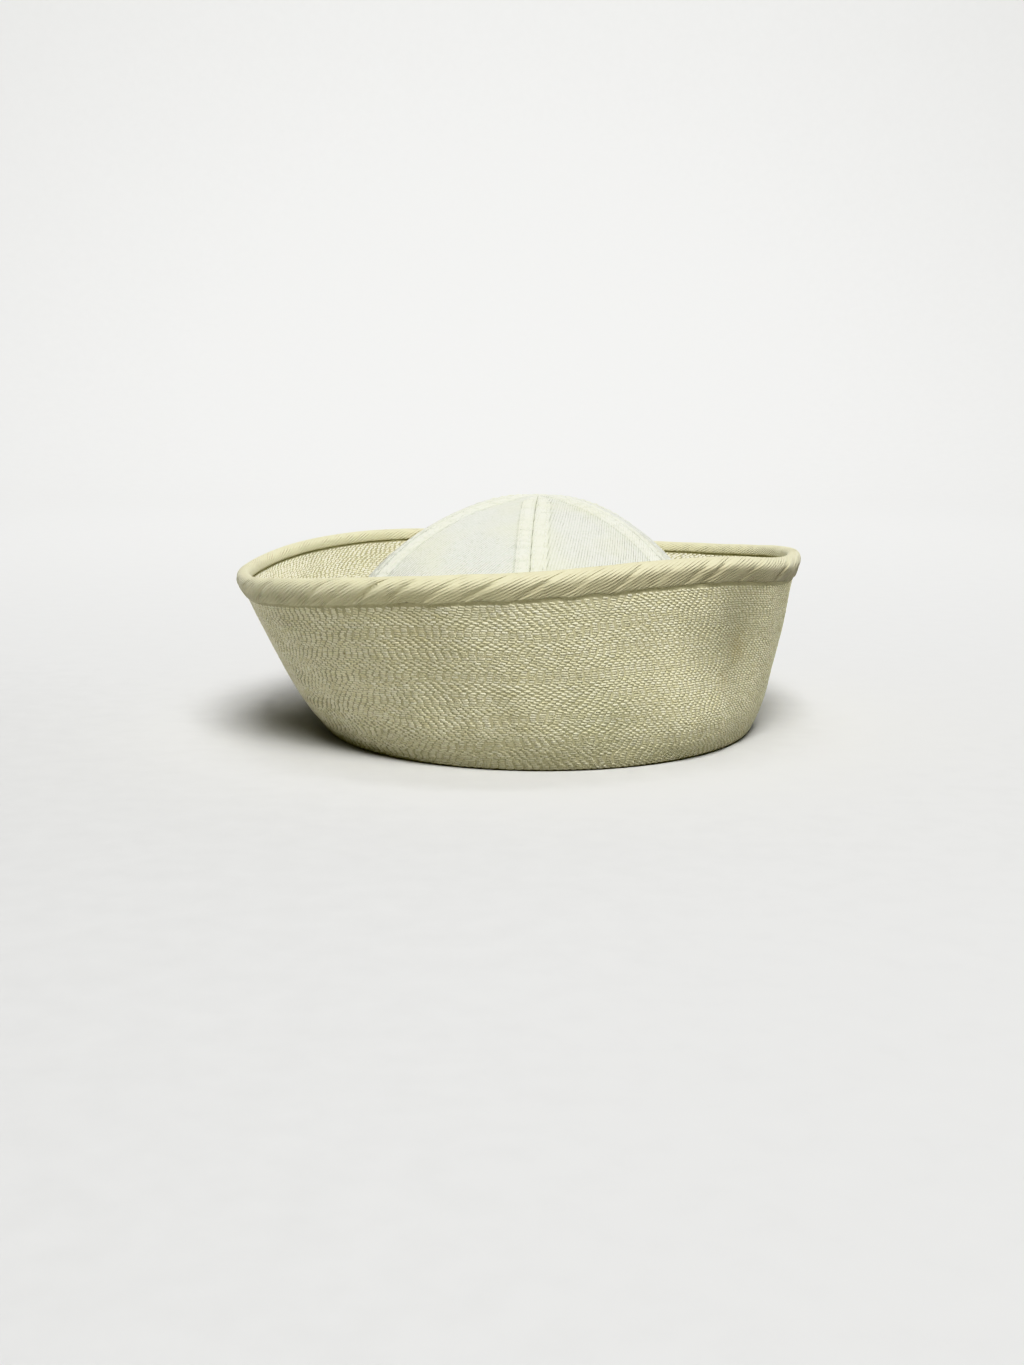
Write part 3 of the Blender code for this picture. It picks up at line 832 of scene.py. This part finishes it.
def buildCrown():
    twill, thread = crownTwill(), seamThread()
    draws = np.random.default_rng(crown["seed"])
    span = fullTurn / crown["gores"]
    lines = {"centre": [], "along": [], "up": []}
    for index in range(crown["gores"]):
        start = crown["turn"] + span * index
        end = start + span
        rises, way = goreLevels(start)
        width = goreWidth(start, end, rises)
        scale = bandScale(width)
        phases = draws.uniform(0, fullTurn, 2)
        pitches = crown["puckerPitch"] * draws.uniform(0.93, 1.08, 2)
        left = np.outer(scale, bandColumns)
        last = left[:, -1:]
        steps = np.arange(1, crown["panelColumns"]) / crown["panelColumns"]
        share = np.concatenate([left, last + (1 - 2 * last) * steps, 1 - left[:, ::-1]], axis=1)
        fromLeft, fromRight = share / scale[:, None], (1 - share) / scale[:, None]
        climb = way[:, None]
        calm = np.clip(width / 16, 0.25, 1.0)[:, None]
        relief = seamRelief(fromLeft, climb, phases[0], pitches[0])
        relief = relief + seamRelief(fromRight, climb, phases[1], pitches[1])
        waves = sum(
            draws.uniform(0.05, 0.16) * mm * np.sin(
                fullTurn * draws.uniform(0.5, 2.2) * share
                + climb / draws.uniform(7, 22)
                + draws.uniform(0, fullTurn)
            )
            for wave in range(6)
        )
        away = np.minimum(fromLeft, fromRight)
        relief = (relief + waves * ease(6.5, 16, away)) * calm
        rise = np.broadcast_to(rises[:, None], share.shape)
        outer = crownPoint(start + span * share, rise, -relief)
        innerShare = np.linspace(share[:, -1], share[:, 0], 26).T
        innerRise = np.broadcast_to(rises[:, None], innerShare.shape)
        inner = crownPoint(start + span * innerShare, innerRise, crown["cloth"])
        points = np.concatenate([outer, inner, outer[:, :1]], axis=1)
        allShares = np.concatenate([share, innerShare, share[:, :1]], axis=1)
        climbs = np.broadcast_to(climb, allShares.shape)
        cloth = np.stack([(allShares - 0.5) * width[:, None], climbs], axis=-1)
        fromNearest = np.minimum(allShares, 1 - allShares) / scale[:, None]
        banded = 1 - ease(5.7, 6.2, fromNearest)
        # shade in the seam, along its topstitching, beside its band and in the hollows of its puckers
        grooved = 0.8 * bell(fromNearest, 0.45)
        for line in crown["topstitch"]:
            grooved = grooved + 0.45 * bell(fromNearest - line, 0.45)
        grooved = grooved + 0.45 * bell(fromNearest - 6.5, 0.45)
        for side, distance in enumerate((allShares / scale[:, None], (1 - allShares) / scale[:, None])):
            hollow = np.clip(-puckerWave(distance, climbs, phases[side], pitches[side]), 0, 1)
            grooved = grooved + 0.6 * hollow
        shell = clothGrid(points, cloth, {"seamBand": banded, "seamGroove": grooved})
        bmesh.ops.holes_fill(shell, edges=[edge for edge in shell.edges if edge.is_boundary])
        bmesh.ops.recalc_face_normals(shell, faces=shell.faces)
        finishPiece(f"gore_{index + 1}", shell, twill, (f"crown_gore_{index + 1}",))

        count = int((way[-1] - 9) / (crown["stitch"] / mm))
        middle = 2.0 + (np.arange(count) + 0.5) * crown["stitch"] / mm
        for side in (0, 1):
            for line in crown["topstitch"]:
                at = middle + draws.normal(0, 0.08, count) + draws.uniform(0, 2)
                riseAt = np.interp(at, way, rises)
                scaleAt = bandScale(goreWidth(start, end, riseAt))
                shareAt = line * scaleAt if side == 0 else 1 - line * scaleAt
                lift = -crown["stitchLift"]
                centre = crownPoint(start + span * shareAt, riseAt, lift)
                small = 1e-3
                up = unit(crownPoint(start + span * shareAt, riseAt + small, lift) - centre)
                sideways = unit(crownPoint(start + span * (shareAt + small), riseAt, lift) - centre)
                sideways = unit(sideways - up * np.sum(up * sideways, axis=1, keepdims=True))
                lines["centre"].append(centre)
                lines["along"].append(up)
                lines["up"].append(-sideways)
    centre, along, up = (np.concatenate(lines[name]) for name in ("centre", "along", "up"))
    size = crown["stitchHalf"] * draws.normal(1, 0.06, (len(centre), 3))
    tones = np.clip(draws.normal(0.5, 0.25, len(centre)), 0, 1)
    dive = crown["stitchDive"]
    sewStitches("crown_topstitching", centre, along, up, size, dive, tones, thread, "crown_cloth")


# Studio: a pale paper sweep, soft light from above and the camera of the photograph
studio = {
    "target": (-0.0049, -0.0083, 0.0152),
    "distance": 0.7245,
    "elevation": math.radians(9.4),
    "roll": math.radians(0.2),
    "lens": 45.84,
    "paperFlat": 1.5,
    "paperBend": 0.8,
    "paperTop": 1.8,
    "roomLight": 0.035,
}


def sweepPaper():
    # Matt seamless paper, even and pale grey
    material, tree, shader = newMaterial("seamlessPaper", 0.95)
    place = addNode(tree, "TexCoord").outputs["Object"]
    grain = addNode(tree, "TexNoise", {"Vector": place, "Scale": noiseScale(11.11 * mm), "Detail": 2.0})
    grey, pale = hexColour("D2D2D1"), hexColour("D8D8D7")
    base = addNode(tree, "MixRGB", {"Fac": grain.outputs["Fac"], "Color1": grey, "Color2": pale})
    tree.links.new(base.outputs[0], shader.inputs["Base Color"])
    return material


def buildStudio():
    # the paper runs flat from the middle and curves up into a wall all round
    flat, bend = studio["paperFlat"], studio["paperBend"]
    profile = [(0, 0), (flat / 2, 0), (flat, 0)]
    for step in range(1, 13):
        angle = math.pi / 2 * step / 12
        profile.append((flat + bend * math.sin(angle), bend * (1 - math.cos(angle))))
    profile.append((flat + bend, studio["paperTop"]))
    sweep = bmesh.new()
    corners = [sweep.verts.new((0, out, up)) for out, up in profile]
    edges = [sweep.edges.new(pair) for pair in zip(corners, corners[1:])]
    bmesh.ops.spin(
        sweep, geom=corners + edges, axis=(0, 0, 1), cent=(0, 0, 0),
        angle=fullTurn, steps=96, use_merge=True,
    )
    bmesh.ops.remove_doubles(sweep, verts=sweep.verts, dist=1e-5)
    bmesh.ops.recalc_face_normals(sweep, faces=sweep.faces)
    if min(sweep.faces, key=lambda face: face.calc_center_median().z).normal.z < 0:
        bmesh.ops.reverse_faces(sweep, faces=sweep.faces)
    mesh = bpy.data.meshes.new("paper_sweep")
    sweep.to_mesh(mesh)
    sweep.free()
    mesh.shade_smooth()
    mesh.materials.append(sweepPaper())
    paper = bpy.data.objects.new("paper_sweep", mesh)
    bpy.context.collection.objects.link(paper)

    # name, place, what it is aimed at, size, spread in degrees and power in watts
    lights = (
        ("keySoftbox", (0.16, -0.87, 1.25), studio["target"], 0.75, 100, 5.8),
        ("backdropSoftbox", (0.0, 0.5, 2.0), (0.0, 1.9, 0.3), 1.0, 120, 22.0),
        ("frontWallSoftbox", (0.0, -0.9, 2.0), (0.0, -2.2, 0.4), 1.0, 120, 5.0),
        ("leftWallSoftbox", (-0.9, 0.0, 2.0), (-2.2, 0.0, 0.4), 1.0, 120, 5.0),
        ("rightWallSoftbox", (0.9, 0.0, 2.0), (2.2, 0.0, 0.4), 1.0, 120, 5.0),
    )
    for name, place, aim, size, spread, power in lights:
        lamp = bpy.data.lights.new(name, "AREA")
        lamp.shape = "SQUARE"
        lamp.size = size
        lamp.spread = math.radians(spread)
        lamp.energy = power
        light = bpy.data.objects.new(name, lamp)
        light.location = place
        light.rotation_mode = "QUATERNION"
        light.rotation_quaternion = (Vector(aim) - Vector(place)).to_track_quat("-Z", "Y")
        bpy.context.collection.objects.link(light)

    world = bpy.data.worlds.new("softRoom")
    world.use_nodes = True
    world.node_tree.nodes["Background"].inputs["Color"].default_value = (1.0, 1.0, 1.0, 1.0)
    world.node_tree.nodes["Background"].inputs["Strength"].default_value = studio["roomLight"]
    bpy.context.scene.world = world
    bpy.context.scene.view_settings.view_transform = "Khronos PBR Neutral"
    bpy.context.scene.view_settings.look = "High Contrast"

    lens = bpy.data.cameras.new("photoCamera")
    lens.lens = studio["lens"]
    lens.clip_start, lens.clip_end = 0.01, 50
    camera = bpy.data.objects.new("photoCamera", lens)
    tilt = studio["elevation"]
    back = Vector((0, -math.cos(tilt), math.sin(tilt)))
    camera.location = Vector(studio["target"]) + studio["distance"] * back
    camera.rotation_mode = "QUATERNION"
    facing = (-back).to_track_quat("-Z", "Y")
    camera.rotation_quaternion = facing @ Quaternion((0, 0, 1), studio["roll"])
    bpy.context.collection.objects.link(camera)
    bpy.context.scene.camera = camera


buildStudio()
print("studio built")
buildBrim()
wornThread = quiltThread("wornQuiltThread", "E9E4C4", "FAF7E2")
cleanThread = quiltThread("cleanQuiltThread", "EFECD8", "FBF9EE")
lastOutside = int(quilt["rows"] * (1 - quilt["bareOutside"] / brim["slant"]))
lastInside = int(quilt["rows"] * (1 - quilt["bareInside"] / brim["slant"]))
outerNames = ("outer_quilting_low", "outer_quilting_high")
innerDepth = brim["thick"] + quilt["proud"]
quiltFace(outerNames, -quilt["proud"], 0, lastOutside, 1, wornThread)
quiltFace(("inner_quilting",), innerDepth, quilt["firstInside"], lastInside, -1, cleanThread)
print("brim built")
buildBinding()
buildCrown()
print("crown built")
